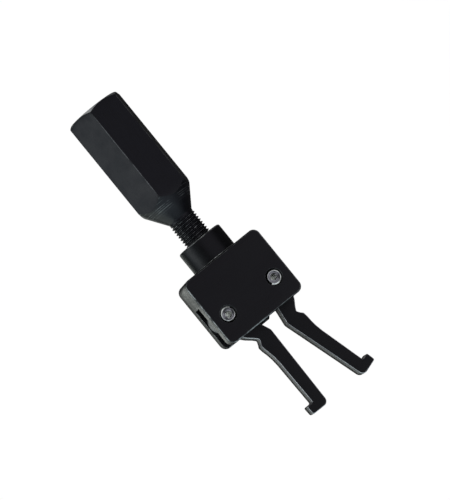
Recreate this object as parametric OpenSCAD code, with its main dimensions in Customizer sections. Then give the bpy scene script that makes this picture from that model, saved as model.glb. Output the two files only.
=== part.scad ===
// Two-jaw internal puller: a hexagonal drive bar turned down to a forcing
// screw, a slotted yoke that the screw runs through, and two outward-hooked
// jaws that pivot in the yoke's slot and are spread by the screw's tip.
// +Z runs up the screw's axis towards the drive end, the yoke's front face
// looks along -Y. The origin is the centre of the hammer socket's mouth in
// the top of the drive hexagon, so everything lies below z = 0.

/* [Drive hexagon] */
// Drive hexagon width across its flats (mm)
hex_af = 27; // [20:0.5:36]
// Length of the hexagon, from its top face to the shoulder cone (mm)
hex_length = 54.7; // [30:0.2:80]
// Angle of the chamfer that rounds off the hexagon's top corners (degrees)
hex_chamfer_angle = 34; // [15:1:45]
// Half angle of the cone that runs from the hexagon down to the neck (degrees)
shoulder_cone_angle = 34.5; // [20:0.5:60]
// Minor diameter of the hammer socket's M14 x 1.5 thread (mm)
socket_bore_diameter = 12.38; // [8:0.01:16]
// Depth of the hammer socket (mm)
socket_depth = 24; // [12:0.5:40]

/* [Forcing screw] */
// Outside diameter of the screw thread (mm)
screw_diameter = 13.8; // [10:0.1:18]
// Root diameter of the screw thread (mm)
screw_root_diameter = 12.16; // [8:0.02:16]
// Thread pitch (mm)
screw_pitch = 1.5; // [1:0.25:2.5]
// Diameter of the plain neck under the shoulder cone (mm)
neck_diameter = 13.1; // [10:0.1:15]
// Exposed screw between the shoulder cone and the boss (mm)
screw_exposed = 13.2; // [4:0.1:30]

/* [Screw tip] */
// Diameter of the flat on the end of the thrust tip (mm)
tip_flat_diameter = 4.4; // [2:0.1:8]
// Height of the bevel round that flat (mm)
tip_bevel = 0.8; // [0:0.1:2]
// How far the tip stands out below the yoke (mm)
tip_stand_out = 1.15; // [0:0.05:6]
// Rise of the tip's cone: radius gained per mm of height
tip_cone_rise = 0.342; // [0.1:0.002:0.6]
// Height of the thrust tip's cone, up to the end of the screw (mm)
tip_height = 7.4; // [3:0.1:10]
// Diameter of the thrust tip's shank inside the screw (mm)
tip_shank_diameter = 6.4; // [3:0.1:8]
// Length of that shank (mm)
tip_shank_length = 12; // [6:0.5:20]
// Radial running clearance between shank and screw bore (mm)
tip_clearance = 0.05; // [0.02:0.01:0.1]

/* [Yoke] */
// Yoke width, side to side (mm)
yoke_width = 43.6; // [30:0.1:60]
// Yoke height, without the boss (mm)
yoke_height = 36.2; // [24:0.1:50]
// Yoke depth, front to back (mm)
yoke_depth = 26; // [18:0.1:36]
// Radius of the yoke's four corners (mm)
yoke_corner_radius = 3.4; // [1:0.1:8]
// Width of the bevel along the yoke's front and back edges (mm)
yoke_edge_bevel = 0.7; // [0.2:0.1:2]
// Boss diameter (mm)
boss_diameter = 23.5; // [18:0.1:30]
// Boss height above the yoke (mm)
boss_height = 12; // [4:0.1:20]
// Edge rounding at the top of the boss (mm)
boss_edge_radius = 1; // [0.3:0.1:2]
// Radial clearance of the screw in the yoke (mm)
screw_clearance = 0.05; // [0.02:0.01:0.1]

/* [Jaw slot and pivots] */
// Width of the slot that holds the jaws (mm)
slot_width = 11.2; // [8:0.1:16]
// Height of the slot's roof above the pivot pins (mm)
slot_roof = 10.4; // [9:0.1:16]
// Distance between the two pivot pins (mm)
pivot_spacing = 27.6; // [20:0.1:40]
// Height of the pivot pins above the underside of the yoke (mm)
pivot_height = 12.5; // [8:0.1:20]
// Outside diameter of the coiled pivot pins (mm)
pin_diameter = 7.3; // [4:0.1:10]
// Strip thickness of the coiled pins (mm)
pin_strip = 0.62; // [0.3:0.02:1.2]
// Growth of the coil per turn, strip and gap together (mm)
pin_coil_pitch = 0.72; // [0.4:0.02:1.4]
// How far the pin ends lie below the yoke's faces (mm)
pin_recess = 0.05; // [0:0.05:2]
// Radial clearance between a jaw's eye and its pin (mm)
pin_clearance = 0.05; // [0.02:0.01:0.1]

/* [Jaws] */
// Jaw thickness (mm)
jaw_thickness = 8.8; // [6:0.1:15]
// Distance from the pivot down to the end of the jaw (mm)
jaw_reach = 60.6; // [45:0.1:90]
// Distance from the pivot in to the inner edge of the leg (mm)
leg_inner = 13; // [10:0.1:16]
// Distance from the pivot in to the outer edge of the leg at the hook (mm)
leg_outer = 7; // [5:0.1:10]
// How far the hook stands out from the leg (mm)
hook_reach = 3.4; // [1.5:0.1:8]
// Height of the hook (mm)
hook_height = 4.6; // [2:0.1:10]
// Depth of the bevel between the leg and the pivot eye, below the pivot (mm)
elbow_depth = 17.6; // [12:0.1:24]
// Resting angle of the left jaw, outward from straight (degrees)
left_jaw_angle = 0.8; // [0:0.1:17]
// Resting angle of the right jaw, outward from straight (degrees)
right_jaw_angle = 17.2; // [0:0.1:40]

/* [Hidden] */

black = [0.13, 0.14, 0.15];
silver = [0.75, 0.76, 0.78];

cut = 1;        // how far a cutter runs past a face
overlap = 0.01; // how far stacked layers run into each other

// Radii
hex_radius = hex_af / 2; // to the flats
neck_radius = neck_diameter / 2;
screw_radius = screw_diameter / 2;
root_radius = screw_root_diameter / 2;
shank_radius = tip_shank_diameter / 2;
tip_bevel_radius = tip_flat_diameter / 2 + tip_bevel;
tip_base_radius = tip_bevel_radius + (tip_height - tip_bevel) * tip_cone_rise;

// Heights, from the top down
neck_z = -(hex_length + (hex_radius - neck_radius) / tan(shoulder_cone_angle));
boss_top = neck_z - screw_exposed;
yoke_top = boss_top - boss_height;
yoke_bottom = yoke_top - yoke_height;
pivot_z = yoke_bottom + pivot_height;
slot_top = pivot_z + slot_roof;
tip_z = yoke_bottom - tip_stand_out;
screw_end = tip_z + tip_height;
shank_top = screw_end + tip_shank_length;

// Drive hexagon
hex_turn = 12.4;         // turn about the screw's axis (degrees)
hex_top_inset = 0.3;     // from the flats in to the top face's round edge
hex_chamfer_run = 4;     // radial width of the chamfer cone
hex_run_on = 4;          // hexagon bar left below hex_length for the cone
shoulder_drop = 0.3;     // lowers the outer end of the corners' lower cone
socket_point_depth = 3.4;
socket_point_flat = 0.5; // diameter at the bottom of the drill point
socket_point_step = 0.3; // diameter lost between bore and drill point

// Screw thread: rings, each given as [fraction of pitch down, radius]
neck_length = 1;
thread_start = neck_z - 1.2;
thread_run_out = 0.4; // least plain length between thread and pointed end
thread_turns = floor((thread_start - cone_z(screw_radius) - thread_run_out) / screw_pitch);
thread_end = thread_start - thread_turns * screw_pitch;
thread_profile = [[0, root_radius], [0.18, root_radius],
                  [0.53, screw_radius], [0.65, screw_radius]];

// Thrust tip, its ring and its ball
tip_gap = 0.05;       // between the tip's cone and the end of the screw
shank_chamfer = 0.4;
ring_z = screw_end + 7;
ring_height = 1;
ring_slit = 1.2;
groove_height = 1.1;
ball_gap = 0.01;      // between shank and ball
bore_allowance = 0.04; // bore length beyond shank and ball

// Yoke
half_depth = yoke_depth / 2;
bevel_layers = 3;
boss_root = 1;       // how far the boss is sunk into the block
lead_in_depth = 0.8;
lead_in_flare = 0.9; // height and radial growth of the lead-in's cutter
slot_run_out = 5;    // how far the slot's cutter runs below the yoke
pin_mouth_depth = 0.4;

// Pivot pins
pin_fit = 0.01;      // radial gap between pin and yoke
pin_chamfer = 0.45;  // radial width of the end chamfer
pin_chamfer_length = 0.3;

// Jaw outline, with the pivot at the origin and +X towards the screw
eye_radius = 6.6;
eye_outer_radius = 7.6; // on the side away from the screw
eye_outer_x = -3.6;     // the larger radius applies up to this x
notch_centre = [4.5, -18.0];
notch_radius = 1.05;
// [x, y] down the leg's outer edge, from the eye towards the hook
leg_outer_edge = [
    [-7.3, -2.1], [-4.5, -6.6], [-1.0, -11.4], [1.4, -14.1],
    [4.0, -16.3], [5.5, -17.7], [5.2, -19.2], [4.6, -20.3],
    [4.4, -21.2], [4.7, -23.3], [5.4, -26.2], [5.9, -28.7],
    [6.2, -31.5], [6.3, -35]];
// [x, y] inside the eye, closing the outline from the inner edge
eye_inner_edge = [[6.4, -3.4], [5.4, 0], [-6, 0]];

// Height at which the tip's cone, carried on up the screw, has a given radius.
function cone_z(radius) = screw_end + (radius - tip_base_radius) / tip_cone_rise;

// Rounded rectangle made of bars and corner discs, centred on x = 0.
module rounded_plate(width, height, radius) {
    translate([-width / 2 + radius, 0]) square([width - 2 * radius, height]);
    translate([-width / 2, radius]) square([width, height - 2 * radius]);
    for (x = [-1, 1]) for (y = [radius, height - radius])
        translate([x * (width / 2 - radius), y]) circle(r = radius, $fn = 48);
}

// A layer of the yoke's body between two values of y, its outline inset.
module yoke_layer(front, back, inset) {
    translate([0, back, yoke_bottom + inset])
        rotate([90, 0, 0])
            linear_extrude(height = back - front)
                rounded_plate(yoke_width - 2 * inset, yoke_height - 2 * inset,
                              yoke_corner_radius - inset);
}

// Boss outline for turning, with a rounded top edge.
module boss_profile() {
    radius = boss_diameter / 2;
    height = boss_height + boss_root;
    square([radius, height - boss_edge_radius]);
    square([radius - boss_edge_radius, height]);
    translate([radius - boss_edge_radius, height - boss_edge_radius])
        circle(r = boss_edge_radius, $fn = 32);
}

// Yoke: block with a round boss on top, bored through for the screw,
// slotted from side to side for the jaws and cross-bored for the pivot pins.
module yoke() {
    bevel = yoke_edge_bevel;
    step = bevel / bevel_layers;
    bore_radius = screw_radius + screw_clearance;
    color(black)
    difference() {
        union() {
            yoke_layer(-half_depth + bevel, half_depth - bevel, 0);
            // the bevels step down in narrow layers, front and back
            for (i = [0 : bevel_layers - 1]) {
                inset = step * (bevel_layers - 0.5 - i);
                yoke_layer(-half_depth + step * i,
                           -half_depth + step * (i + 1) + overlap, inset);
                yoke_layer(half_depth - step * (i + 1) - overlap,
                           half_depth - step * i, inset);
            }
            translate([0, 0, yoke_top - boss_root])
                rotate_extrude($fn = 96)
                    boss_profile();
        }
        // bore for the screw right through, with a lead-in at the top
        translate([0, 0, yoke_bottom - cut])
            cylinder(r = bore_radius, h = boss_top - yoke_bottom + 2 * cut, $fn = 96);
        translate([0, 0, boss_top - lead_in_depth])
            cylinder(r1 = bore_radius, r2 = bore_radius + lead_in_flare,
                     h = lead_in_flare, $fn = 96);
        // slot, open below and at both sides
        translate([-yoke_width, -slot_width / 2, yoke_bottom - slot_run_out])
            cube([2 * yoke_width, slot_width, slot_top - yoke_bottom + slot_run_out]);
        // pin bores with countersunk mouths
        for (side = [-1, 1]) translate([side * pivot_spacing / 2, 0, pivot_z])
            rotate([90, 0, 0]) {
                cylinder(d = pin_diameter, h = yoke_depth + 2 * cut, center = true,
                         $fn = 96);
                for (turn = [0, 180]) rotate([0, turn, 0])
                    translate([0, 0, half_depth - pin_mouth_depth])
                        cylinder(d1 = pin_diameter, d2 = pin_diameter + 1,
                                 h = pin_mouth_depth + 0.1, $fn = 96);
            }
    }
}

// Hexagon bar with its corners turned off at the top and the shoulder.
module drive_hexagon() {
    top_radius = hex_radius - hex_top_inset;
    outer_radius = top_radius + hex_chamfer_run;
    intersection() {
        translate([0, 0, -hex_length - hex_run_on])
            rotate([0, 0, hex_turn])
                cylinder(d = hex_af / cos(30), h = hex_length + hex_run_on, $fn = 6);
        rotate_extrude($fn = 96)
            polygon([[0, 0], [top_radius, 0],
                     [outer_radius, -hex_chamfer_run * tan(hex_chamfer_angle)],
                     [outer_radius, -hex_length - shoulder_drop
                         + hex_chamfer_run / tan(shoulder_cone_angle)],
                     [hex_radius, -hex_length],
                     [neck_radius, neck_z],
                     [0, neck_z]]);
    }
}

// Shoulder cone, neck, ringed thread profile and pointed end.
module forcing_screw() {
    rotate_extrude($fn = 96)
        polygon(concat(
            [[0, screw_end],
             [0, -hex_length + 1],
             [hex_radius, -hex_length],
             [neck_radius, neck_z],
             [neck_radius, neck_z - neck_length]],
            [for (turn = [0 : thread_turns - 1]) for (point = thread_profile)
                [point[1], thread_start - screw_pitch * (turn + point[0])]],
            [[root_radius, thread_end],
             [root_radius, thread_end - 0.2],
             [root_radius, cone_z(root_radius)],
             [tip_base_radius, screw_end]]));
}

// Forcing screw with the drive hexagon: one piece turned from hexagon bar.
module drive_spindle() {
    color(black)
    difference() {
        union() {
            drive_hexagon();
            forcing_screw();
        }
        // hammer socket: blind bore with a drill point below it
        translate([0, 0, -socket_depth])
            cylinder(d = socket_bore_diameter, h = socket_depth + cut, $fn = 96);
        translate([0, 0, -socket_depth - socket_point_depth])
            cylinder(d1 = socket_point_flat, d2 = socket_bore_diameter - socket_point_step,
                     h = socket_point_depth + 0.05, $fn = 96);
        // bore for the thrust tip's shank and ball, and the ring's groove
        translate([0, 0, screw_end - cut])
            cylinder(r = shank_radius + tip_clearance,
                     h = tip_shank_length + tip_shank_diameter + bore_allowance + cut,
                     $fn = 64);
        translate([0, 0, ring_z - groove_height / 2])
            cylinder(r = shank_radius + 0.6, h = groove_height, $fn = 64);
    }
}

// Hard thrust tip: cone that spreads the jaws, on a shank that turns freely
// in the end of the screw.
module thrust_tip() {
    color(black)
    difference() {
        rotate_extrude($fn = 96)
            polygon([[0, tip_z],
                     [tip_flat_diameter / 2, tip_z],
                     [tip_bevel_radius, tip_z + tip_bevel],
                     [tip_base_radius, screw_end - tip_gap],
                     [shank_radius, screw_end - tip_gap],
                     [shank_radius, shank_top - shank_chamfer],
                     [shank_radius - shank_chamfer, shank_top],
                     [0, shank_top]]);
        // groove for the retaining ring
        translate([0, 0, ring_z - groove_height / 2])
            difference() {
                cylinder(r = shank_radius + cut, h = groove_height, $fn = 64);
                translate([0, 0, -cut])
                    cylinder(r = shank_radius - 0.5, h = 4, $fn = 64);
            }
    }
}

// Split ring that keeps the tip's shank in the screw.
module tip_retaining_ring() {
    cutter_height = ring_height + 2 * cut;
    color(silver)
    translate([0, 0, ring_z - ring_height / 2])
        difference() {
            cylinder(r = shank_radius + 0.55, h = ring_height, $fn = 64);
            translate([0, 0, -cut])
                cylinder(r = shank_radius - 0.47, h = cutter_height, $fn = 64);
            translate([0, -ring_slit / 2, -cut]) cube([10, ring_slit, cutter_height]);
        }
}

// Ball that takes the thrust behind the tip's shank.
module thrust_ball() {
    color(silver)
    translate([0, 0, shank_top + shank_radius + ball_gap])
        rotate_extrude($fn = 64)
            intersection() {
                circle(r = shank_radius, $fn = 64);
                translate([0, -shank_radius]) square([shank_radius, 2 * shank_radius]);
            }
}

// Jaw outline with the pivot at the origin, +X towards the screw.
module jaw_outline() {
    hook_top = hook_height - jaw_reach;
    hook_tip = leg_outer - hook_reach;
    difference() {
        union() {
            // eye round the pivot, larger on its outer side
            circle(r = eye_radius, $fn = 96);
            intersection() {
                circle(r = eye_outer_radius, $fn = 96);
                translate([-12, -12]) square([12 + eye_outer_x, 24]);
            }
            // leg: down the outer edge, round the hook, up the inner edge
            polygon(concat(
                leg_outer_edge,
                [[leg_outer, hook_top + 0.3],
                 [leg_outer - 0.4, hook_top],
                 [hook_tip + 0.3, hook_top],
                 [hook_tip, hook_top - 0.3],
                 [hook_tip + 0.2, -jaw_reach + 0.4],
                 [hook_tip + 0.6, -jaw_reach],
                 [leg_inner - 2.2, -jaw_reach],
                 [leg_inner - 0.7, -jaw_reach + 0.7],
                 [leg_inner, -jaw_reach + 2.2],
                 [leg_inner, -elbow_depth - 0.5],
                 [leg_inner - 0.25, -elbow_depth + 0.35]],
                eye_inner_edge));
        }
        // round notch in the outer edge
        translate(notch_centre) circle(r = notch_radius, $fn = 40);
        // eye bore
        circle(d = pin_diameter + 2 * pin_clearance, $fn = 96);
    }
}

// The left-hand jaw standing in the slot, swung outward by a given angle.
module jaw(angle) {
    translate([-pivot_spacing / 2, 0, pivot_z])
        rotate([0, angle, 0])
            rotate([90, 0, 0])
                translate([0, 0, -jaw_thickness / 2])
                    linear_extrude(height = jaw_thickness)
                        jaw_outline();
}

module left_jaw() {
    color(black) jaw(left_jaw_angle);
}

module right_jaw() {
    color(black) mirror([1, 0, 0]) jaw(right_jaw_angle);
}

// Half ring of strip, above (side 1) or below (side -1) the X axis.
module half_ring(outer, side) {
    intersection() {
        difference() {
            circle(r = outer, $fn = 96);
            circle(r = outer - pin_strip, $fn = 96);
        }
        translate([-20, side > 0 ? 0 : -20]) square([40, 20]);
    }
}

// End view of a coiled spring pin: one strip wound two and a half turns.
module coil(radius) {
    half_pitch = pin_coil_pitch / 2;
    for (i = [0 : 2])
        half_ring(radius - i * pin_coil_pitch, 1);
    for (i = [0 : 1]) translate([-half_pitch, 0])
        half_ring(radius - half_pitch - i * pin_coil_pitch, -1);
}

// Coiled spring pin with chamfered ends, its seam turned by a given angle.
module pivot_pin(x, seam) {
    radius = pin_diameter / 2 - pin_fit;
    half = half_depth - pin_recess;
    color(silver)
    translate([x, 0, pivot_z])
        rotate([90, seam, 0])
            intersection() {
                translate([0, 0, -half])
                    linear_extrude(height = 2 * half) coil(radius);
                rotate_extrude($fn = 96)
                    polygon([[0, -half],
                             [radius - pin_chamfer, -half],
                             [radius, -half + pin_chamfer_length],
                             [radius, half - pin_chamfer_length],
                             [radius - pin_chamfer, half],
                             [0, half]]);
            }
}

module left_pivot_pin() {
    pivot_pin(-pivot_spacing / 2, seam = 20);
}

module right_pivot_pin() {
    pivot_pin(pivot_spacing / 2, seam = 200);
}

yoke();
drive_spindle();
thrust_tip();
tip_retaining_ring();
thrust_ball();
left_jaw();
right_jaw();
left_pivot_pin();
right_pivot_pin();
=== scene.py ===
"""A two-jaw tool: a drive spindle with a hexagon head screws down through a yoke,
two jaws hang from pins in the yoke's slot, and a thrust tip sits in the screw's end.

The spindle's axis is Z and the head's top is z = 0. The front is -Y, left is -X,
and the jaws swing in the XZ plane. Sizes are in mm; meshes are made in metres.
"""
import math
from functools import cached_property, reduce
import bmesh
import bpy
from mathutils import Matrix, Vector
from mathutils.geometry import tessellate_polygon


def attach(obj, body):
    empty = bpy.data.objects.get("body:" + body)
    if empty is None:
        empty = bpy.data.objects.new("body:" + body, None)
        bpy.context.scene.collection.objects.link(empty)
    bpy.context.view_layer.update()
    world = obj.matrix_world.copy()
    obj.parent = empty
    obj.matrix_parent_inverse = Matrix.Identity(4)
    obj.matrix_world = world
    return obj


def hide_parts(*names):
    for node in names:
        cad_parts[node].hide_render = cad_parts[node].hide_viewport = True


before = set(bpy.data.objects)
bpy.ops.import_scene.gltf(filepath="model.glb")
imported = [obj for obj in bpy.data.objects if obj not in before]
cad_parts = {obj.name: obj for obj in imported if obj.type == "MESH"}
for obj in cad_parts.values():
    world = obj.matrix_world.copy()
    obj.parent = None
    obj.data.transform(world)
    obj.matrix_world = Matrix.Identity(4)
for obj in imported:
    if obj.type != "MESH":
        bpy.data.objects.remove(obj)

scene = bpy.context.scene


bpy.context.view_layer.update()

# ---------------------------------------------------------------- sizes, mm
HEX_HALF = 27.0 / 2              # half the width across flats
HEX_LENGTH = 54.7
HEX_TURN = 12.4                  # degrees from +X to the first corner
CONE_TAN = math.tan(math.radians(34.5))     # cone between hexagon and neck


def cone_height(r):
    """Height at radius r on the cone under the hexagon."""
    return -HEX_LENGTH - (HEX_HALF - r) / CONE_TAN


NECK_R = 6.55
NECK_Z = cone_height(NECK_R)
THREAD_PITCH = 1.5

BOSS_R = 11.75
BOSS_TOP = NECK_Z - 13.2
YOKE_TOP = BOSS_TOP - 12.0
YOKE_WIDTH = 43.6
YOKE_HEIGHT = 36.2
YOKE_HALF_DEPTH = 13.0
YOKE_BOTTOM = YOKE_TOP - YOKE_HEIGHT
PIVOT_X = 13.8
PIVOT_Z = YOKE_BOTTOM + 12.5
SLOT_TOP = PIVOT_Z + 10.4

TIP_LENGTH = 7.4                 # the part that shows below the screw
TIP_CHAMFER = 0.8
TIP_Z = YOKE_BOTTOM - 1.15
SCREW_END = TIP_Z + TIP_LENGTH
TIP_RISE = 0.342                 # radius gained per mm of height
TIP_LOWER_R = 3.0
TIP_UPPER_R = TIP_LOWER_R + (TIP_LENGTH - TIP_CHAMFER) * TIP_RISE
GROOVE_LOW = SCREW_END + 6.45    # retaining ring groove, in stem and bore
GROOVE_HIGH = SCREW_END + 7.55


# ------------------------------------------------------------- mesh helpers
def shade_smooth(mesh, sharp):
    """Smooth shading, with edges steeper than sharp degrees kept crisp."""
    for polygon in mesh.polygons:
        polygon.use_smooth = True
    mesh.set_sharp_from_angle(angle=math.radians(sharp))


def build(name, verts, faces, merge=0.002, sharp=32.0):
    """Closed mesh from points in mm, doubles merged and normals turned out."""
    mesh = bpy.data.meshes.new(name)
    bm = bmesh.new()
    points = [bm.verts.new((x * 0.001, y * 0.001, z * 0.001)) for x, y, z in verts]
    for face in faces:
        corners = [points[i] for i in dict.fromkeys(face)]
        if len(corners) > 2:
            # a clamped thread row can ask for a face that is already there
            try:
                bm.faces.new(corners)
            except ValueError:
                pass
    if merge:
        bmesh.ops.remove_doubles(bm, verts=bm.verts[:], dist=merge * 0.001)
    bmesh.ops.dissolve_degenerate(bm, edges=bm.edges[:], dist=1e-8)
    bmesh.ops.recalc_face_normals(bm, faces=bm.faces[:])
    bm.to_mesh(mesh)
    bm.free()
    shade_smooth(mesh, sharp)
    ob = bpy.data.objects.new(name, mesh)
    scene.collection.objects.link(ob)
    return ob


def set_material(ob, finish):
    ob.data.materials.clear()
    ob.data.materials.append(FINISHES[finish])


def dress(ob, body, node, finish):
    """Puts a finished piece on its body, in place of its CAD node."""
    set_material(ob, finish)
    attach(ob, body)
    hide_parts(node)


def circle(count):
    return [2 * math.pi * j / count for j in range(count)]


def ring_quads(rows, count, base=0):
    """Faces joining closed rows of count points, the first starting at base."""
    faces = []
    for start in range(base, base + (rows - 1) * count, count):
        for j in range(count):
            a = start + j
            b = start + (j + 1) % count
            faces.append((a, b, b + count, a + count))
    return faces


class Shell:
    """Collects strips of a surface round Z that share their border rings."""

    def __init__(self, angles):
        self.angles = angles
        self.count = len(angles)
        self.verts = []
        self.faces = []

    def point(self, angle, r, z):
        self.verts.append((r * math.cos(angle), r * math.sin(angle), z))

    def rings(self, *points):
        """A level ring for each (r, z)."""
        return [[point] * self.count for point in points]

    def rows(self, rows):
        """Joins rows in order; each is a list of one (r, z) per angle."""
        base = len(self.verts)
        for row in rows:
            for angle, (r, z) in zip(self.angles, row):
                self.point(angle, r, z)
        self.faces += ring_quads(len(rows), self.count, base)

    def cap(self):
        """Closes the last row."""
        end = len(self.verts)
        self.faces.append(tuple(range(end - self.count, end)))

    def helix(self, top, bottom, profile, top_r, bottom_r, fade=0.9, limit=None):
        """Right-hand thread between two heights; rows follow the helix.
        profile lists (drop, radius) over one turn, fade is the run-out's
        height, and limit(z) caps the radius."""
        count, steps = self.count, len(profile)
        total = (int((top - bottom) / THREAD_PITCH) + 3) * steps
        base = len(self.verts)
        for k in range(total):
            drop, profile_r = profile[k % steps]
            for angle in self.angles:
                z = (top - THREAD_PITCH * (k // steps) - drop
                     + THREAD_PITCH * angle / (2 * math.pi))
                if z >= top:
                    r, z = top_r, top
                elif z <= bottom:
                    r, z = bottom_r, bottom
                else:
                    r = top_r + (profile_r - top_r) * min(1.0, (top - z) / fade)
                    r = bottom_r + (r - bottom_r) * min(1.0, (z - bottom) / fade)
                    if limit:
                        r = min(r, limit(z))
                self.point(angle, r, z)
        for k in range(total - 1):
            start = base + k * count
            for a in range(start, start + count - 1):
                self.faces.append((a, a + 1, a + count + 1, a + count))
            # the last angle meets the first one a whole turn earlier
            a = start + count - 1
            b = base + max(k - steps, 0) * count
            c = base + max(k + 1 - steps, 0) * count
            self.faces.append((a, b, c, a + count))


def rounded(corners, step):
    """Closed outline from (x, z, radius) corners, each turned into an arc
    with points at most step apart."""
    outline = []
    for i, (x, z, r) in enumerate(corners):
        corner = Vector((x, z))
        back = Vector(corners[i - 1][:2]) - corner
        ahead = Vector(corners[(i + 1) % len(corners)][:2]) - corner
        room = 0.48 * min(back.length, ahead.length)
        back.normalize()
        ahead.normalize()
        angle = math.acos(max(-1.0, min(1.0, back.dot(ahead))))
        if r <= 0 or angle > math.radians(178.5):
            outline.append((corner.x, corner.y))
            continue
        tangent = r / math.tan(angle / 2)
        if tangent > room:
            tangent = room
            r = tangent * math.tan(angle / 2)
        centre = corner + (back + ahead).normalized() * (r / math.sin(angle / 2))
        first = corner + back * tangent - centre
        last = corner + ahead * tangent - centre
        start = math.atan2(first.y, first.x)
        sweep = math.atan2(last.y, last.x) - start
        sweep = (sweep + math.pi) % (2 * math.pi) - math.pi
        count = max(2, math.ceil(abs(sweep) * r / step),
                    math.ceil(abs(sweep) / math.radians(9)))
        for q in range(count + 1):
            turn = start + sweep * q / count
            outline.append((centre.x + r * math.cos(turn), centre.y + r * math.sin(turn)))
    return outline


def inset(outline, distance):
    """Outline moved in along its mitred normals; same vertex count."""
    result = []
    for i, (x, z) in enumerate(outline):
        before_x, before_z = outline[i - 1]
        after_x, after_z = outline[(i + 1) % len(outline)]
        edge_in = Vector((x - before_x, z - before_z)).normalized()
        edge_out = Vector((after_x - x, after_z - z)).normalized()
        normal = Vector((-edge_in.y, edge_in.x))
        mitre = normal + Vector((-edge_out.y, edge_out.x))
        if mitre.length < 1e-6:
            mitre = normal.copy()
        mitre.normalize()
        stretch = max(0.5, mitre.dot(normal))
        result.append((x + mitre.x * distance / stretch, z + mitre.y * distance / stretch))
    return result


def plate(name, corners, step, half, edge, steps, hole_r=None):
    """Flat part in the XZ plane with rounded edges, and an optional round
    hole at the origin with a small bevel. The corners run anticlockwise."""
    closest = 0.02
    hole_bevel = 0.3
    hole_count = 64
    outline = []
    for p in rounded(corners, step):
        if not outline or (Vector(p) - Vector(outline[-1])).length > closest:
            outline.append(p)
    if (Vector(outline[0]) - Vector(outline[-1])).length < closest:
        outline.pop()
    count = len(outline)
    quarter = []
    for i in range(steps + 1):
        turn = math.pi / 2 * i / steps
        quarter.append((edge * (1 - math.sin(turn)), half - edge * (1 - math.cos(turn))))
    rows = [(depth, -y) for depth, y in quarter] + quarter[::-1]
    verts = [(x, y, z) for depth, y in rows for x, z in inset(outline, depth)]
    faces = ring_quads(len(rows), count)
    base = len(verts)
    if hole_r:
        for r, y in [(hole_r + hole_bevel, -half), (hole_r, -half + hole_bevel),
                     (hole_r, half - hole_bevel), (hole_r + hole_bevel, half)]:
            for turn in circle(hole_count):
                verts.append((r * math.cos(turn), y, r * math.sin(turn)))
        faces += [(a, d, c, b) for a, b, c, d in ring_quads(4, hole_count, base)]
    for row, hole_row in ((0, 0), (len(rows) - 1, 3)):
        loops = [range(row * count, (row + 1) * count)]
        if hole_r:
            start = base + hole_row * hole_count
            loops.append(range(start, start + hole_count))
        index = [i for loop in loops for i in loop]
        flat = [[Vector((verts[i][0], verts[i][2], 0)) for i in loop] for loop in loops]
        for triangle in tessellate_polygon(flat):
            faces.append(tuple(index[q] for q in triangle))
    return build(name, verts, faces)


def revolve(name, profile, count, along_y_at=None):
    """Closed solid of revolution from (r, height) points. It turns round Z,
    or round a line along Y through the given (x, z)."""
    verts = []
    for r, height in profile:
        for turn in circle(count):
            u, v = r * math.cos(turn), r * math.sin(turn)
            if along_y_at:
                verts.append((along_y_at[0] + u, height, along_y_at[1] + v))
            else:
                verts.append((u, v, height))
    faces = ring_quads(len(profile), count)
    faces.append(tuple(range(count)))
    faces.append(tuple(range((len(profile) - 1) * count, len(profile) * count)))
    return build(name, verts, faces)


def arc(centre_r, centre_z, radius, start, end, count):
    """Arc points as (r, z), angles in degrees."""
    turns = [math.radians(start + (end - start) * i / count) for i in range(count + 1)]
    return [(centre_r + radius * math.cos(t), centre_z + radius * math.sin(t)) for t in turns]


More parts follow.
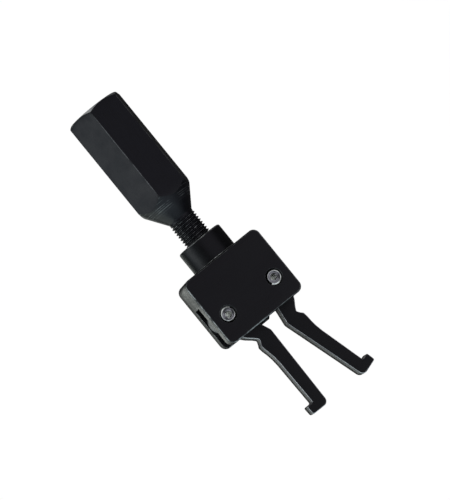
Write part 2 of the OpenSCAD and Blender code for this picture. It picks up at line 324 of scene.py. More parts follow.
# ------------------------------------------------------------ shader helpers
class Nodes:
    """Adds nodes to a shader tree; most calls return the new output."""

    def __init__(self, owner):
        owner.use_nodes = True
        self.tree = owner.node_tree
        self.tree.nodes.clear()

    def node(self, kind, **settings):
        node = self.tree.nodes.new(kind)
        for key, value in settings.items():
            setattr(node, key, value)
        return node

    def put(self, socket, value):
        """Links an output into a socket, or sets the socket's value."""
        if isinstance(value, bpy.types.NodeSocket):
            self.tree.links.new(value, socket)
        else:
            socket.default_value = value

    def fill(self, node, values):
        """values maps input names or indices to outputs or values."""
        for key, value in values.items():
            self.put(node.inputs[key], value)
        return node

    def math(self, operation, a, b=0.0, clamp=False):
        node = self.node("ShaderNodeMath", operation=operation, use_clamp=clamp)
        return self.fill(node, {0: a, 1: b, 2: 0.0}).outputs[0]

    def add(self, a, b):
        return self.math("ADD", a, b)

    def subtract(self, a, b):
        return self.math("SUBTRACT", a, b)

    def product(self, *factors):
        return reduce(lambda a, b: self.math("MULTIPLY", a, b), factors)

    def largest(self, *values):
        return reduce(lambda a, b: self.math("MAXIMUM", a, b), values)

    def size(self, value):
        return self.math("ABSOLUTE", value)

    def above(self, value, level):
        return self.math("GREATER_THAN", value, level)

    def below(self, value, level):
        return self.math("LESS_THAN", value, level)

    def length(self, a, b):
        return self.math("SQRT", self.add(self.product(a, a), self.product(b, b)))

    def dot(self, a, b):
        node = self.node("ShaderNodeVectorMath", operation="DOT_PRODUCT")
        return self.fill(node, {0: a, 1: b}).outputs["Value"]

    def ramp(self, value, span, to=(0.0, 1.0)):
        """Smooth step: value across span becomes a value across to."""
        node = self.node("ShaderNodeMapRange", clamp=True, interpolation_type="SMOOTHSTEP")
        return self.fill(node, {"Value": value, "From Min": span[0], "From Max": span[1],
                                "To Min": to[0], "To Max": to[1]}).outputs[0]

    def mix_color(self, factor, a, b):
        node = self.node("ShaderNodeMix", data_type="RGBA")
        return self.fill(node, {0: factor, 6: a, 7: b}).outputs[2]

    def mix_value(self, factor, a, b):
        node = self.node("ShaderNodeMix", data_type="FLOAT")
        return self.fill(node, {0: factor, 2: a, 3: b}).outputs[0]

    def mix_shader(self, factor, a, b):
        return self.fill(self.node("ShaderNodeMixShader"), {0: factor, 1: a, 2: b}).outputs[0]

    def noise(self, vector, scale, detail, rough):
        node = self.node("ShaderNodeTexNoise")
        return self.fill(node, {"Vector": vector, "Scale": scale, "Detail": detail,
                                "Roughness": rough}).outputs[0]

    def scaled(self, vector, scale=(1, 1, 1), offset=(0, 0, 0)):
        node = self.node("ShaderNodeMapping")
        return self.fill(node, {"Vector": vector, "Scale": scale,
                                "Location": offset}).outputs[0]

    def separate(self, vector):
        return tuple(self.fill(self.node("ShaderNodeSeparateXYZ"), {0: vector}).outputs)


class Steel(Nodes):
    """A steel material's tree, with the coordinates its patterns share.
    Each is made when it is first used. Lengths are in mm."""

    def __init__(self, name, seed):
        self.material = bpy.data.materials.new(name)
        super().__init__(self.material)
        self.seed = seed
        self.coords = self.node("ShaderNodeTexCoord").outputs["Object"]
        self.normal = self.node("ShaderNodeNewGeometry").outputs["Normal"]
        # place in mm, shifted by the seed
        self.grain = self.scaled(self.coords, (1000, 1000, 1000),
                                 (seed, seed * 1.7, seed * 0.6))

    @cached_property
    def position(self):
        return self.separate(self.scaled(self.coords, (1000, 1000, 1000)))

    @cached_property
    def facing(self):
        return self.separate(self.normal)

    x = property(lambda self: self.position[0])
    y = property(lambda self: self.position[1])
    z = property(lambda self: self.position[2])
    nx = property(lambda self: self.facing[0])
    ny = property(lambda self: self.facing[1])
    nz = property(lambda self: self.facing[2])

    @cached_property
    def radius(self):
        """Distance from the spindle's axis."""
        return self.length(self.x, self.y)

    @cached_property
    def radius_height(self):
        node = self.node("ShaderNodeCombineXYZ")
        return self.fill(node, {0: self.radius, 1: self.z}).outputs[0]

    @cached_property
    def jaw_eye(self):
        """0 near the yoke's lower face and below, 1 above."""
        return self.ramp(self.z, span=(YOKE_BOTTOM + 1.5, YOKE_BOTTOM + 4.0))

    def pin_distance(self):
        """Distance from the nearer pivot pin's axis."""
        return self.length(self.subtract(self.size(self.x), PIVOT_X),
                           self.subtract(self.z, PIVOT_Z))

    def patches(self, scale, detail, rough, span, to=(0.0, 1.0), stretch=None):
        """Noise ramped into patches; stretch scales the grain on each axis."""
        vector = self.scaled(self.grain, stretch) if stretch else self.grain
        return self.ramp(self.noise(vector, scale, detail, rough), span, to)


# ------------------------------------------------------------- tool marks
def ring_marks(steel, scale=9.0, detail=5.0, rough=0.65):
    """Turning marks round Z."""
    vector = steel.scaled(steel.radius_height, offset=(steel.seed, 0, 0))
    return steel.noise(vector, scale, detail, rough)


def bar_marks(steel):
    """Drawn flats run along Z, turned surfaces run round it."""
    drawn = steel.noise(steel.scaled(steel.grain, (1, 1, 0.018)),
                        scale=4.2, detail=5.0, rough=0.7)
    turned = steel.largest(steel.below(steel.z, level=-58.0),
                           steel.above(steel.size(steel.nz), level=0.2))
    coarse = ring_marks(steel, scale=1.5, detail=4.0, rough=0.7)
    return steel.mix_value(turned, drawn, steel.mix_value(0.55, ring_marks(steel), coarse))


def ground_marks(steel):
    """Ground along X on the front and back, milled along Y on the edges."""
    face = steel.noise(steel.scaled(steel.grain, (0.06, 1, 1)),
                       scale=3.6, detail=5.0, rough=0.7)
    edge = steel.noise(steel.scaled(steel.grain, (1, 0.05, 1)),
                       scale=3.4, detail=5.0, rough=0.65)
    return steel.mix_value(steel.above(steel.size(steel.ny), level=0.7), edge, face)


def wire_marks(steel):
    """Fine lines along Y."""
    return steel.noise(steel.scaled(steel.grain, (1, 0.03, 1)),
                       scale=6.0, detail=4.0, rough=0.6)


# ------------------------------------------------------------- rubbed zones and a painted highlight
def spindle_rub(steel):
    """Hexagon corners, thread crests, the top's chamfer and rings on the cone."""
    angle = steel.product(steel.math("ARCTAN2", steel.ny, steel.nx), 180.0 / math.pi)
    sector = steel.math("FLOORED_MODULO", steel.subtract(angle, HEX_TURN), 60.0)
    off_flat = steel.size(steel.subtract(sector, 30.0))
    corners = steel.product(
        steel.ramp(off_flat, span=(5.0, 16.0)),
        steel.ramp(steel.size(steel.nz), span=(0.05, 0.2), to=(1.0, 0.0)),
        steel.above(steel.z, level=-54.0),
        steel.patches(scale=0.3, detail=4.0, rough=0.6, span=(0.38, 0.62), to=(0.1, 0.7),
                      stretch=(1, 1, 0.5)))
    crests = steel.product(
        steel.ramp(steel.radius, span=(6.72, 6.88)),
        steel.below(steel.z, level=-66.0),
        steel.patches(scale=0.8, detail=3.0, rough=0.6, span=(0.42, 0.66), to=(0.0, 0.75)))
    chamfer = steel.product(
        steel.ramp(steel.nz, span=(0.5, 0.7)),
        steel.ramp(steel.nz, span=(0.9, 0.97), to=(1.0, 0.0)),
        steel.above(steel.z, level=-3.0),
        0.3)
    cone_noise = steel.noise(steel.scaled(steel.radius_height, offset=(4.3, 0, 0)),
                             scale=1.1, detail=3.0, rough=0.6)
    cone = steel.product(
        steel.ramp(steel.nz, span=(-0.4, -0.25), to=(1.0, 0.0)),
        steel.ramp(steel.radius, span=(9.5, 12.5)),
        steel.ramp(cone_noise, span=(0.5, 0.66), to=(0.0, 0.5)),
        steel.patches(scale=0.13, detail=3.0, rough=0.6, span=(0.4, 0.6), stretch=(1, 1, 1)),
        steel.below(steel.z, level=-50.0))
    return steel.largest(corners, crests, chamfer, cone)


def rounded_edge_rub(steel, patch_to):
    """Rounded edges rub bright; the yoke's boss has only its rim. Patches
    vary the wear across patch_to."""
    size_y = steel.size(steel.ny)
    size_z = steel.size(steel.nz)
    body = steel.product(
        steel.ramp(size_y, span=(0.18, 0.5)),
        steel.ramp(size_y, span=(0.9, 0.985), to=(1.0, 0.0)),
        steel.ramp(steel.nz, span=(0.3, 0.62), to=(1.0, 0.08)),
        # the countersinks round the pins stay black
        steel.above(steel.pin_distance(), level=4.6))
    rim = steel.product(steel.ramp(size_z, span=(0.2, 0.5)),
                        steel.ramp(size_z, span=(0.88, 0.97), to=(1.0, 0.0)))
    zone = steel.mix_value(steel.above(steel.z, level=YOKE_TOP + 0.1), body, rim)
    return steel.product(zone, steel.patches(scale=0.4, detail=4.0, rough=0.6,
                                             span=(0.34, 0.62), to=patch_to,
                                             stretch=(1, 1, 1)))


def jaw_side_painted_highlight(steel):
    """Painted highlight: the front half of the narrow faces, and the whole
    width of the eye, take the bright worn colour.
    """
    front = steel.ramp(steel.y, span=(-1.6, 0.4), to=(0.2, 0.0))
    return steel.product(steel.largest(front, steel.product(steel.jaw_eye, 0.32)),
                         steel.ramp(steel.size(steel.ny), span=(0.3, 0.6), to=(1.0, 0.0)))


# --------------------------------------------------- streaks, painted shade and pin ends with a painted glow
def yoke_streaks(steel, color):
    """Milled side strips keep a thinner finish, streaked along Z."""
    side = steel.ramp(steel.size(steel.nx), span=(0.9, 0.97))
    streak = steel.patches(scale=2.1, detail=5.0, rough=0.75, span=(0.36, 0.66),
                           to=(0.12, 1.0), stretch=(1, 1, 0.05))
    return steel.mix_color(steel.product(side, streak), color, (0.15, 0.16, 0.148, 1))


def side_painted_shade(steel, span, to):
    """Painted shade: the narrow faces darken towards the back; span is in Y."""
    return steel.product(
        steel.ramp(steel.size(steel.ny), span=(0.3, 0.6), to=(1.0, 0.0)),
        steel.ramp(steel.size(steel.nx), span=(0.5, 0.8)),
        steel.ramp(steel.y, span, to),
        steel.patches(scale=0.6, detail=4.0, rough=0.7, span=(0.3, 0.65), to=(0.7, 1.0),
                      stretch=(1, 1, 0.12)))


def yoke_painted_shade_and_dark_edges(steel):
    # painted shade: the narrow faces darken towards the back
    sides = side_painted_shade(steel, span=(-11.0, 12.0), to=(0.06, 0.8))
    # the top edges are darkened too
    top = steel.product(
        steel.ramp(steel.nz, span=(0.4, 0.6)),
        steel.ramp(steel.size(steel.ny), span=(0.25, 0.5)),
        steel.below(steel.z, level=YOKE_TOP + 0.1),
        steel.patches(scale=0.45, detail=3.0, rough=0.6, span=(0.5, 0.66), to=(0.9, 0.1)))
    # and so is the right half of the lower edges
    bottom = steel.product(
        steel.ramp(steel.nz, span=(-0.6, -0.4), to=(1.0, 0.0)),
        steel.ramp(steel.size(steel.ny), span=(0.25, 0.5)),
        steel.ramp(steel.x, span=(-0.5, 3.5), to=(0.0, 0.93)))
    return steel.largest(sides, top, bottom)


def jaw_painted_shade(steel):
    # painted shade: the narrow faces darken towards the back, but not at the eye
    return steel.product(side_painted_shade(steel, span=(-0.9, 2.2), to=(0.0, 0.75)),
                         steel.subtract(1.0, steel.jaw_eye))


def coil_ends(steel, color, bsdf):
    """Dull sawn coil ends inside a swaged rim, which gets a painted highlight:
    a faint white emission glow.
    """
    rim = steel.ramp(steel.pin_distance(), span=(2.85, 3.05))
    sawn = steel.product(
        steel.ramp(steel.size(steel.ny), span=(0.85, 0.95)),
        steel.subtract(1.0, rim),
        steel.patches(scale=0.5, detail=3.0, rough=0.6, span=(0.38, 0.62), to=(0.98, 0.05),
                      stretch=(1, 0.2, 1)))
    # painted highlight: the rim glows faintly by emission, so it shows as a bright ring
    painted_rim_glow = steel.product(
        rim,
        steel.ramp(steel.size(steel.ny), span=(0.4, 0.6)),
        steel.patches(scale=0.35, detail=3.0, rough=0.6, span=(0.38, 0.6), to=(0.2, 1.0),
                      stretch=(1, 0.2, 1)),
        0.4)
    steel.fill(bsdf, {"Emission Color": (0.95, 1.0, 0.97, 1), "Emission Strength": painted_rim_glow})
    return steel.mix_color(sawn, color, (0.12, 0.125, 0.12, 1))


# --------------------------------------------------------------- materials
WORN = (0.5, 0.52, 0.5)


def machined_steel(name, seed, base, marks, metallic, roughness, wear, worn=WORN,
                   marks_gain=1.0, bevel=0.28, ior=1.52, rubs_and_painted_highlights=(), streaks=None,
                   ends=None, painted_shade=None):
    """Machined steel. base and worn are its colours, wear is how far edges
    wear and bevel how wide, in mm. The other hooks add a part's own detail,
    and some paint light and shade: a highlight on the jaws' sides, a glow on
    the pins' rims and shade on the narrow faces."""
    steel = Steel(name, seed)
    bsdf = steel.node("ShaderNodeBsdfPrincipled")

    def tone(gain):
        return tuple(min(1, c * gain) for c in base) + (1,)

    lines = marks(steel)
    cloud = steel.noise(steel.grain, scale=0.11, detail=5.0, rough=0.6)
    speck = steel.noise(steel.grain, scale=2.6, detail=3.0, rough=0.6)
    fine = steel.noise(steel.grain, scale=11.0, detail=2.0, rough=0.5)

    # worn edges, from the difference between the true and a rounded normal
    soft = steel.node("ShaderNodeBevel", samples=6)
    soft_normal = steel.fill(soft, {"Radius": bevel * 0.001}).outputs[0]
    bend = steel.subtract(1.0, steel.dot(soft_normal, steel.normal))
    edge = steel.ramp(bend, span=(0.004, 0.09))
    broken = steel.ramp(speck, span=(0.36, 0.62), to=(0.25, 1.0))
    edge = steel.math("MULTIPLY", edge, broken, clamp=True)
    edge = steel.math("MULTIPLY", edge, wear, clamp=True)
    # on the jaws a painted highlight joins the rubbed zones here
    edge = steel.largest(edge, *[bright_mask(steel) for bright_mask in rubs_and_painted_highlights])

    color = steel.mix_color(steel.ramp(cloud, span=(0.35, 0.68)), tone(0.78), tone(1.28))
    line_mix = steel.ramp(lines, span=(0.42, 0.66), to=(0.0, 0.5 * marks_gain))
    color = steel.mix_color(line_mix, color, tone(1.9))
    if streaks:
        color = streaks(steel, color)
    spots = steel.ramp(speck, span=(0.63, 0.74), to=(0.0, 0.35))
    color = steel.mix_color(spots, color, tone(0.55))
    color = steel.mix_color(edge, color, (*worn, 1))
    if ends:
        color = ends(steel, color, bsdf)

    rough = steel.add(roughness, steel.ramp(cloud, span=(0.3, 0.7), to=(-0.07, 0.09)))
    rough = steel.add(rough, steel.ramp(lines, span=(0.3, 0.7), to=(-0.05, 0.06)))
    rough = steel.subtract(rough, steel.product(edge, 0.08))

    height = steel.add(steel.product(lines, 0.9 * marks_gain), steel.product(fine, 0.22))
    height = steel.add(height, steel.product(speck, 0.25))
    bump = steel.fill(steel.node("ShaderNodeBump"), {
        "Strength": 0.55, "Distance": 0.00002, "Height": height, "Normal": soft_normal})
    steel.fill(bsdf, {"Base Color": color, "Metallic": steel.mix_value(edge, metallic, 0.9),
                      "Roughness": rough, "IOR": ior, "Normal": bump.outputs[0]})
    surface = bsdf.outputs[0]
    if painted_shade:
        # painted shade: a near-black diffuse is mixed in where the mask says
        dark_diffuse = steel.fill(steel.node("ShaderNodeBsdfDiffuse"),
                          {"Color": (0.006, 0.006, 0.006, 1)})
        surface = steel.mix_shader(painted_shade(steel), surface, dark_diffuse.outputs[0])
    steel.fill(steel.node("ShaderNodeOutputMaterial"), {0: surface})
    return steel.material


def spindle_finish(name):
    return machined_steel(name, seed=3.0, base=(0.0095, 0.0098, 0.0128), marks=bar_marks,
                          metallic=0.2, roughness=0.34, wear=0.3, ior=1.43,
                          rubs_and_painted_highlights=(spindle_rub,))


def yoke_finish(name):
    def bright_mask(steel):
        return rounded_edge_rub(steel, patch_to=(0.15, 0.85))

    return machined_steel(name, seed=11.0, base=(0.0068, 0.0068, 0.0078),
                          marks=ground_marks, metallic=0.25, roughness=0.36, wear=0.6,
                          ior=1.5, rubs_and_painted_highlights=(bright_mask,), streaks=yoke_streaks, painted_shade=yoke_painted_shade_and_dark_edges)


def jaw_finish(name):
    def bright_mask(steel):
        return rounded_edge_rub(steel, patch_to=(0.6, 1.0))

    # worn is also the colour of the painted highlight on the narrow faces
    return machined_steel(name, seed=23.0, base=(0.0125, 0.0122, 0.0127),
                          worn=(0.86, 0.86, 0.85), marks=ground_marks, metallic=0.2,
                          roughness=0.5, wear=0.8, bevel=0.3, ior=1.42,
                          rubs_and_painted_highlights=(bright_mask, jaw_side_painted_highlight), painted_shade=jaw_painted_shade)


def tip_finish(name):
    return machined_steel(name, seed=37.0, base=(0.009, 0.0095, 0.01), marks=ring_marks,
                          metallic=0.3, roughness=0.33, wear=0.5)


def pin_finish(name):
    return machined_steel(name, seed=5.0, base=(0.6, 0.62, 0.61), worn=(0.9, 0.91, 0.9),
                          marks=wire_marks, metallic=0.95, roughness=0.3, wear=0.9,
                          bevel=0.07, ends=coil_ends)


def spring_finish(name):
    return machined_steel(name, seed=7.0, base=(0.3, 0.31, 0.33), worn=(0.6, 0.6, 0.6),
                          marks=ring_marks, metallic=0.95, roughness=0.28, wear=0.7)


def ball_finish(name):
    return machined_steel(name, seed=9.0, base=(0.6, 0.61, 0.63), worn=(0.8, 0.8, 0.8),
                          marks=ring_marks, metallic=1.0, roughness=0.1, wear=0.2,
                          marks_gain=0.15)


FINISHES = {name: make(name) for name, make in (
    ("spindle_black_oxide", spindle_finish),
    ("yoke_black_oxide", yoke_finish),
    ("jaw_black_oxide", jaw_finish),
    ("tip_black_oxide", tip_finish),
    ("bright_pin_steel", pin_finish),
    ("spring_steel", spring_finish),
    ("ball_steel", ball_finish),
)}

# ----------------------------------------------------------------- spindle
# one turn of each thread: (drop below the turn's start, radius)
SCREW_THREAD = [(0.0, 6.1), (0.17, 6.06), (0.34, 6.1), (0.58, 6.5), (0.81, 6.86),
                (0.85, 6.9), (1.0, 6.9), (1.04, 6.86), (1.27, 6.5)]
SOCKET_THREAD = [(0.0, 6.19), (0.3, 6.19), (0.36, 6.22), (0.6, 6.62), (0.82, 6.96),
                 (0.98, 6.96), (1.2, 6.62), (1.38, 6.3)]


def hex_radius(angle):
    """Radius of the hexagon, its corners slightly rounded."""
    corner_r = 0.45
    half_sector = math.radians(30)
    off_corner = (math.degrees(angle) - HEX_TURN + 30) % 60 - 30
    centre = (HEX_HALF - corner_r) / math.cos(half_sector)
    round_end = math.degrees(math.atan2(corner_r * 0.5,
                                        centre + corner_r * math.cos(half_sector)))
    if abs(off_corner) < round_end:
        turn = math.radians(off_corner)
        across = corner_r * corner_r - (centre * math.sin(turn)) ** 2
        return centre * math.cos(turn) + math.sqrt(max(0.0, across))
    return HEX_HALF / math.cos(math.radians(30 - abs(off_corner)))


def spindle_angles():
    """Even steps, with extra ones close to the hexagon's corners."""
    degrees = {round(2.5 * i, 3) for i in range(144)}
    for corner in range(6):
        for off in (-1.1, -0.8, -0.6, -0.4, -0.2, 0, 0.2, 0.4, 0.6, 0.8, 1.1):
            degrees.add(round((HEX_TURN + 60 * corner + off) % 360, 3))
    return [math.radians(d) for d in sorted(degrees)]


def add_head(shell):
    """From the socket's mouth over the hexagon and its cone to the neck."""
    hexagon = [hex_radius(angle) for angle in shell.angles]
    rim_r, rim_z = HEX_HALF - 0.3, -0.06
    chamfer_tan = math.tan(math.radians(34))
    chamfer = [(r, rim_z - (r - rim_r) * chamfer_tan) for r in hexagon]
    cone = [(r, cone_height(r)) for r in hexagon]

    def shifted(row, dr, dz):
        return [(r + dr, z + dz) for r, z in row]

    rows = shell.rings((7.5, 0), (7.7, 0), (12.9, 0), (13.08, -0.015), (rim_r, rim_z))
    for part in (0.3, 0.6, 0.88):
        rows.append([(rim_r + (r - rim_r) * part, rim_z + (z - rim_z) * part)
                     for r, z in chamfer])
    rows += [shifted(chamfer, -0.035, -0.01), shifted(chamfer, 0, -0.1)]
    for z in (-4.0, -12.0, -20.0, -28.0, -36.0, -44.0, -50.0):
        rows.append([(r, z) for r in hexagon])
    rows += [shifted(cone, 0, 0.09), shifted(cone, -0.02, 0.01), shifted(cone, -0.08, -0.1)]
    rows += shell.rings(*[(r, cone_height(r)) for r in (13.2, 12.0, 10.8, 9.6, 8.4, 7.5, 7.0)])
    rows += shell.rings((6.74, NECK_Z + 0.34), (6.62, NECK_Z), (6.56, NECK_Z - 0.3),
                        (NECK_R, NECK_Z - 0.7))
    shell.rows(rows)


def add_screw(shell):
    """The thread, the tapered end and the bore for the tip's stem."""
    end_r = 6.35
    bore_r, groove_r = 3.25, 3.8

    def taper_r(z):
        return TIP_UPPER_R + (z - SCREW_END) * TIP_RISE

    def taper_z(r):
        return SCREW_END + (r - TIP_UPPER_R) / TIP_RISE

    shell.helix(NECK_Z - 0.7, taper_z(end_r), SCREW_THREAD, NECK_R, end_r, limit=taper_r)
    shell.rows(shell.rings(
        (end_r, taper_z(end_r)), (5.8, taper_z(5.8)),
        (TIP_UPPER_R + 0.05, SCREW_END + 0.15), (TIP_UPPER_R - 0.08, SCREW_END),
        (3.5, SCREW_END), (bore_r, SCREW_END + 0.25),
        (bore_r, GROOVE_LOW), (groove_r, GROOVE_LOW),
        (groove_r, GROOVE_HIGH), (bore_r, GROOVE_HIGH),
        (bore_r, SCREW_END + 18.44)))
    shell.cap()


def add_socket(shell):
    """Bevelled mouth, thread and drilled end."""
    lead_r, lead_z = 6.24, -1.25
    root_r, root_z = 6.19, -21.5
    shell.rows(shell.rings((7.5, 0), (7.38, -0.04), (6.3, -1.1), (lead_r, lead_z)))
    shell.helix(lead_z, root_z, SOCKET_THREAD, lead_r, root_r)
    shell.rows(shell.rings((root_r, root_z), (root_r, -23.9), (6.1, -24.08), (3.0, -25.9),
                           (0.4, -27.35)))
    shell.cap()


def make_spindle():
    shell = Shell(spindle_angles())
    add_head(shell)
    add_screw(shell)
    add_socket(shell)
    ob = build("drive_spindle_turned", shell.verts, shell.faces, merge=0.001, sharp=26.0)
    dress(ob, "spindle_body", "drive_spindle", "spindle_black_oxide")


# -------------------------------------------------------------------- yoke
def boolean(target, tool, operation):
    """Joins or cuts target with tool, which is used up."""
    modifier = target.modifiers.new("boolean", "BOOLEAN")
    modifier.operation = operation
    modifier.solver = "EXACT"
    modifier.object = tool
    graph = bpy.context.evaluated_depsgraph_get()
    mesh = bpy.data.meshes.new_from_object(target.evaluated_get(graph), depsgraph=graph)
    target.modifiers.clear()
    old = target.data
    target.data = mesh
    bpy.data.meshes.remove(old)
    bpy.data.objects.remove(tool, do_unlink=True)


def make_boss():
    """The round boss, with a fillet at its foot and a rounded rim."""
    fillet, rim = 0.5, 1.0
    foot_r = BOSS_R + fillet
    profile = [(BOSS_R - 2, YOKE_TOP - 3), (foot_r, YOKE_TOP - 1), (foot_r, YOKE_TOP)]
    profile += arc(foot_r, YOKE_TOP + fillet, fillet, 270, 180, 4)[1:]
    profile += arc(BOSS_R - rim, BOSS_TOP - rim, rim, 0, 90, 7)
    profile += [(4.0, BOSS_TOP)]
    return revolve("boss", profile, 128)


def make_slot_cutter():
    """Slot for the jaws along X, its mouths bevelled at 45 degrees."""
    half, mouth_half = 5.6, 8.0      # half widths of the slot and its lower mouth
    cutter_end = 24
    bevel_start = YOKE_WIDTH / 2 - 0.12
    flare = cutter_end - bevel_start
    verts = []
    for x, grow in ((-cutter_end, flare), (-bevel_start, 0), (bevel_start, 0),
                    (cutter_end, flare)):
        side = [(half + grow, SLOT_TOP + grow), (half + grow, YOKE_BOTTOM + 0.4),
                (mouth_half + grow, YOKE_BOTTOM - 2.0), (mouth_half + grow, -140)]
        verts += [(x, -y, z) for y, z in side] + [(x, y, z) for y, z in side[::-1]]
    faces = ring_quads(4, 8) + [tuple(range(8)), tuple(range(24, 32))]
    return build("slot_cut", verts, faces)


def make_yoke():
    half_width, corner_r = YOKE_WIDTH / 2, 3.4
    bore_r = 6.95
    pin_hole_r = 3.66
    corners = [(-half_width, YOKE_BOTTOM, corner_r), (half_width, YOKE_BOTTOM, corner_r),
               (half_width, YOKE_TOP, corner_r), (-half_width, YOKE_TOP, corner_r)]
    ob = plate("yoke_milled", corners, step=0.3, half=YOKE_HALF_DEPTH, edge=0.85, steps=5)
    boolean(ob, make_boss(), "UNION")
    boolean(ob, make_slot_cutter(), "DIFFERENCE")
    # screw bore with a lead-in
    bore = [(bore_r, YOKE_BOTTOM - 3.0), (bore_r, BOSS_TOP - 0.8), (bore_r + 2, BOSS_TOP + 1.2)]
    boolean(ob, revolve("bore_cut", bore, 128), "DIFFERENCE")
    # pin holes, countersunk at both ends
    pin_hole = [(5.15, -14.0), (pin_hole_r, -12.51), (pin_hole_r, 12.51), (5.15, 14.0)]
    for x in (-PIVOT_X, PIVOT_X):
        boolean(ob, revolve("pin_cut", pin_hole, 96, along_y_at=(x, PIVOT_Z)), "DIFFERENCE")
    bm = bmesh.new()
    bm.from_mesh(ob.data)
    bmesh.ops.remove_doubles(bm, verts=bm.verts[:], dist=2e-6)
    bmesh.ops.dissolve_degenerate(bm, edges=bm.edges[:], dist=1e-7)
    bm.to_mesh(ob.data)
    bm.free()
    shade_smooth(ob.data, sharp=26)
    dress(ob, "yoke_body", "yoke", "yoke_black_oxide")


# -------------------------------------------------------------------- jaws
LEG_OUTER_X = 7.0
LEG_INNER_X = 13.0
JAW_REACH = 60.6                 # pivot to the jaw's lower end
TOE_TOP = JAW_REACH - 4.6
TOE_X = LEG_OUTER_X - 3.4        # the toe points away from the screw
EYE_R = 6.6


def jaw_corners():
    """(x, z, corner radius) with the pivot at the origin and X towards the
    screw, anticlockwise from the toe's lower corner."""
    corners = [(LEG_OUTER_X - 3.2, -JAW_REACH, 0.9), (LEG_INNER_X, -JAW_REACH, 2.6),
               (LEG_INNER_X, -17.65, 3.2), (6.45, -3.3, 1.6)]
    # the eye, which swells by 1 mm on its outer side
    for degrees in range(-4, 193, 7):
        swell = min(1.0, max(0.0, (degrees - 112) / 23.0))
        r = EYE_R + swell * swell * (3 - 2 * swell)
        turn = math.radians(degrees)
        corners.append((r * math.cos(turn), r * math.sin(turn), 0))
    # the outer side, down to the toe
    corners += [
        (-7.25, -2.2, 3), (-4.5, -6.6, 6), (-1.0, -11.4, 6), (1.4, -14.1, 6),
        (4.1, -16.3, 2.5), (5.7, -17.9, 0.9), (5.0, -19.9, 1.0), (4.35, -21.1, 0.8),
        (4.7, -23.4, 5), (5.45, -26.3, 8), (5.95, -29.0, 8), (6.3, -32.5, 10),
        (LEG_OUTER_X, -TOE_TOP, 0.8), (TOE_X, -TOE_TOP, 0.7), (TOE_X, -TOE_TOP - 1.2, 2)]
    return corners


def make_jaw(name, side, swing):
    """side is -1 for left and 1 for right; swing opens the jaw, in degrees."""
    ob = plate(name + "_ground", jaw_corners(), step=0.4, half=4.4, edge=0.4, steps=4,
               hole_r=3.7)
    cos, sin = math.cos(math.radians(swing)), math.sin(math.radians(swing))
    for vertex in ob.data.vertices:
        x, y, z = vertex.co * 1000
        inward = x * cos + z * sin
        up = z * cos - x * sin
        vertex.co = Vector(((-PIVOT_X + inward) * -side, y, PIVOT_Z + up)) / 1000
    if side > 0:
        # mirroring turned the faces inside out
        ob.data.flip_normals()
    dress(ob, name + "_body", name, "jaw_black_oxide")


# ------------------------------------------------------------- small pieces
def make_pin(name, side, seam):
    """Coiled spring pin: a strip wound two and a half turns, swaged ends.
    seam is where the strip starts, in degrees."""
    outer_r, thickness, winding = 3.63, 0.62, 0.72      # winding: radius lost per turn
    swage_length, swage_depth = 0.42, 0.6
    half = YOKE_HALF_DEPTH - 0.05
    steps = 150
    turns = [2 * math.pi * 2.5 * i / steps for i in range(steps + 1)]
    # (distance from the end, inset of the strip's surfaces)
    ends = [(0.0, 0.06), (0.04, 0.0), (0.2, 0.0), (swage_length, 0.0), (1.2, 0.0)]
    rows = [(depth - half, thin) for depth, thin in ends] + [(0, 0.0)]
    rows += [(half - depth, thin) for depth, thin in ends[::-1]]
    verts = []
    for y, thin in rows:
        depth = half - abs(y)
        limit = outer_r - swage_depth * max(0.0, 1 - depth / swage_length)
        for turn in turns:
            r = outer_r - winding * turn / (2 * math.pi)
            outside = min(r, limit) - thin
            inside = min(r - thickness + thin, outside - 0.06)
            # the inner turns lie a little below the outer one
            sink = 0.45 * min(1.0, max(0.0, (turn - 5.2) / 1.6)) * max(0.0, 1 - depth / 1.2)
            angle = turn + math.radians(seam)
            for radius in (outside, inside):
                verts.append((side * PIVOT_X + radius * math.cos(angle),
                              y - math.copysign(sink, y),
                              PIVOT_Z + radius * math.sin(angle)))
    count = 2 * (steps + 1)
    faces = []
    for start in range(0, (len(rows) - 1) * count, count):
        for a in range(start, start + 2 * steps, 2):
            faces.append((a, a + 2, a + 2 + count, a + count))
            faces.append((a + 1, a + 1 + count, a + 3 + count, a + 3))
        faces.append((start, start + count, start + count + 1, start + 1))
        end = start + 2 * steps
        faces.append((end, end + 1, end + 1 + count, end + count))
    last = (len(rows) - 1) * count
    for i in range(0, 2 * steps, 2):
        faces.append((i, i + 1, i + 3, i + 2))
        b = last + i
        faces.append((b, b + 2, b + 3, b + 1))
    ob = build(name + "_coiled", verts, faces, merge=0)
    dress(ob, "yoke_body", name, "bright_pin_steel")


def make_tip():
    stem_r = 3.2
    groove_r = stem_r - 0.5
    profile = [
        (0.3, TIP_Z), (2.1, TIP_Z), (2.22, TIP_Z + 0.03), (2.95, TIP_Z + 0.75),
        (TIP_LOWER_R + 0.03, TIP_Z + 0.88),
        (4.0, TIP_Z + TIP_CHAMFER + (4.0 - TIP_LOWER_R) / TIP_RISE),
        (TIP_UPPER_R - 0.09, SCREW_END - 0.25), (TIP_UPPER_R - 0.12, SCREW_END - 0.07),
        (TIP_UPPER_R - 0.25, SCREW_END - 0.05), (stem_r + 0.1, SCREW_END - 0.05),
        (stem_r, SCREW_END + 0.1), (stem_r, GROOVE_LOW), (groove_r, GROOVE_LOW),
        (groove_r, GROOVE_HIGH), (stem_r, GROOVE_HIGH), (stem_r, SCREW_END + 11.6),
        (stem_r - 0.4, SCREW_END + 12.0), (0.3, SCREW_END + 12.0)]
    ob = revolve("thrust_tip_turned", profile, 96)
    dress(ob, "tip_body", "thrust_tip", "tip_black_oxide")


make_spindle()
make_yoke()
make_jaw("left_jaw", side=-1, swing=0.8)
make_jaw("right_jaw", side=1, swing=17.2)
make_pin("left_pivot_pin", side=-1, seam=40)
make_pin("right_pivot_pin", side=1, seam=215)
make_tip()
# these two keep their CAD meshes
set_material(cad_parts["tip_retaining_ring"], "spring_steel")
set_material(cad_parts["thrust_ball"], "ball_steel")

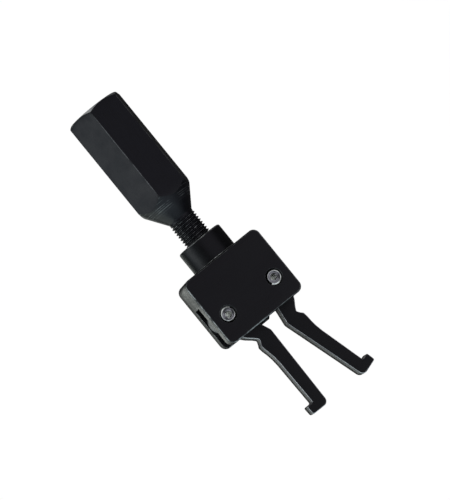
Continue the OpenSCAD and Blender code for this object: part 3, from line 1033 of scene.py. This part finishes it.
# ------------------------------------------------------------ stage, metres
AMBIENT = 0.04
PANELS = [
    # direction, inner and outer angle in degrees, strength, tint
    ((-0.24, 0.97, 0.0), 7, 20, 1.0, (0.95, 1.0, 0.95)),         # behind
    ((-1.0, -0.1, 0.0), 14, 42, 0.54, (0.84, 1.0, 1.12)),        # left
    ((0.03, 0.42, 0.9), 10, 24, 1.5, (1.0, 1.0, 1.03)),          # above and behind
    ((-0.1, 0.1, 1.0), 18, 42, 0.4, (0.95, 1.0, 1.05)),          # overhead
    ((-0.22, -0.2, -1.0), 20, 46, 0.7, (0.82, 1.0, 1.12)),       # below
    ((-0.63, 0.39, -0.67), 12, 32, 0.85, (0.9, 1.02, 0.97)),     # low, left and behind
    ((0.35, -0.93, 0.0), 24, 52, 0.26, (1.0, 0.96, 1.16)),       # front
]


def make_backdrop():
    """Pale sheet behind the tool. It can be seen through from its back, so
    that the tool shows from every side."""
    half, y = 3.0, 0.14
    mesh = bpy.data.meshes.new("pale_floor")
    mesh.from_pydata([(-half, y, -half), (half, y, -half), (half, y, half), (-half, y, half)],
                     [], [(0, 1, 2, 3)])
    ob = bpy.data.objects.new("pale_floor", mesh)
    scene.collection.objects.link(ob)
    material = bpy.data.materials.new("pale_floor")
    nodes = Nodes(material)
    coords = nodes.node("ShaderNodeTexCoord").outputs["Object"]
    mottle = nodes.noise(nodes.scaled(coords, (6, 6, 6)), scale=1.0, detail=3.0, rough=0.5)
    white = nodes.mix_color(nodes.ramp(mottle, span=(0.3, 0.7)),
                            (0.985, 0.985, 0.985, 1), (1, 1, 1, 1))
    glow = nodes.fill(nodes.node("ShaderNodeEmission"), {"Color": white, "Strength": 1.02})
    clear = nodes.node("ShaderNodeBsdfTransparent")
    facing_back = nodes.node("ShaderNodeNewGeometry").outputs["Backfacing"]
    camera_ray = nodes.node("ShaderNodeLightPath").outputs["Is Camera Ray"]
    shown = nodes.product(camera_ray, nodes.subtract(1.0, facing_back))
    surface = nodes.mix_shader(shown, clear.outputs[0], glow.outputs[0])
    nodes.fill(nodes.node("ShaderNodeOutputMaterial"), {0: surface})
    mesh.materials.append(material)


def make_world():
    """White to the eye. What the metal reflects is a dark room with a few
    soft panels, so the black finish keeps its depth."""
    world = bpy.data.worlds.new("studio")
    scene.world = world
    nodes = Nodes(world)
    seen = nodes.fill(nodes.node("ShaderNodeBackground"), {0: (1, 1, 1, 1)})
    unit = nodes.node("ShaderNodeVectorMath", operation="NORMALIZE")
    nodes.fill(unit, {0: nodes.node("ShaderNodeTexCoord").outputs["Generated"]})
    total = (AMBIENT,) * 3
    for direction, inner, outer, strength, tint in PANELS:
        closeness = nodes.dot(unit.outputs[0], Vector(direction).normalized())
        panel = nodes.ramp(closeness, to=(0.0, strength),
                           span=(math.cos(math.radians(outer)), math.cos(math.radians(inner))))
        tinted = nodes.node("ShaderNodeVectorMath", operation="MULTIPLY_ADD")
        total = nodes.fill(tinted, {0: panel, 1: tint, 2: total}).outputs[0]
    lit = nodes.fill(nodes.node("ShaderNodeBackground"), {0: total})
    camera_ray = nodes.node("ShaderNodeLightPath").outputs["Is Camera Ray"]
    surface = nodes.mix_shader(camera_ray, lit.outputs[0], seen.outputs[0])
    nodes.fill(nodes.node("ShaderNodeOutputWorld"), {0: surface})


def make_area_light(name, place, aim, size, power):
    light = bpy.data.lights.new(name, "AREA")
    light.shape = "RECTANGLE"
    light.size, light.size_y = size
    light.energy = power
    ob = bpy.data.objects.new(name, light)
    scene.collection.objects.link(ob)
    ob.location = place
    ob.rotation_mode = "QUATERNION"
    ob.rotation_quaternion = (Vector(aim) - Vector(place)).to_track_quat("-Z", "Y")


def make_camera(azimuth, elevation, roll, distance, target, lens):
    """Angles in degrees, azimuth from the front towards +X; lengths in mm."""
    azimuth, elevation, roll = (math.radians(v) for v in (azimuth, elevation, roll))
    back = Vector((math.sin(azimuth) * math.cos(elevation),
                   -math.cos(azimuth) * math.cos(elevation), math.sin(elevation)))
    right = (-back).cross(Vector((0, 0, 1))).normalized()
    up = right.cross(-back)
    rolled_right = right * math.cos(roll) - up * math.sin(roll)
    rolled_up = right * math.sin(roll) + up * math.cos(roll)
    data = bpy.data.cameras.new("camera")
    data.sensor_width = 36.0
    data.lens = lens
    data.clip_start = 0.01
    data.clip_end = 20.0
    ob = bpy.data.objects.new("camera", data)
    scene.collection.objects.link(ob)
    matrix = Matrix((rolled_right, rolled_up, back)).transposed().to_4x4()
    matrix.translation = Vector(target) / 1000 + back * distance / 1000
    ob.matrix_world = matrix
    scene.camera = ob


make_backdrop()
make_world()
make_area_light("key_left", place=(-0.8, -0.1, 0.02), aim=(0, 0, -0.09),
                size=(0.4, 0.5), power=0.5)
make_area_light("top_soft", place=(0.05, -0.1, 0.7), aim=(0, 0, -0.09),
                size=(0.4, 0.3), power=0.5)
make_area_light("front_fill", place=(0.5, -0.7, -0.45), aim=(0, 0, -0.1),
                size=(0.3, 0.3), power=0.3)

scene.view_settings.view_transform = "Standard"
scene.view_settings.look = "None"
scene.view_settings.exposure = 0.0
scene.view_settings.gamma = 1.0

make_camera(azimuth=-11.8, elevation=-1.757, roll=39.163, distance=1240.86,
            target=(6.59, 0, -89.49), lens=192.076194)
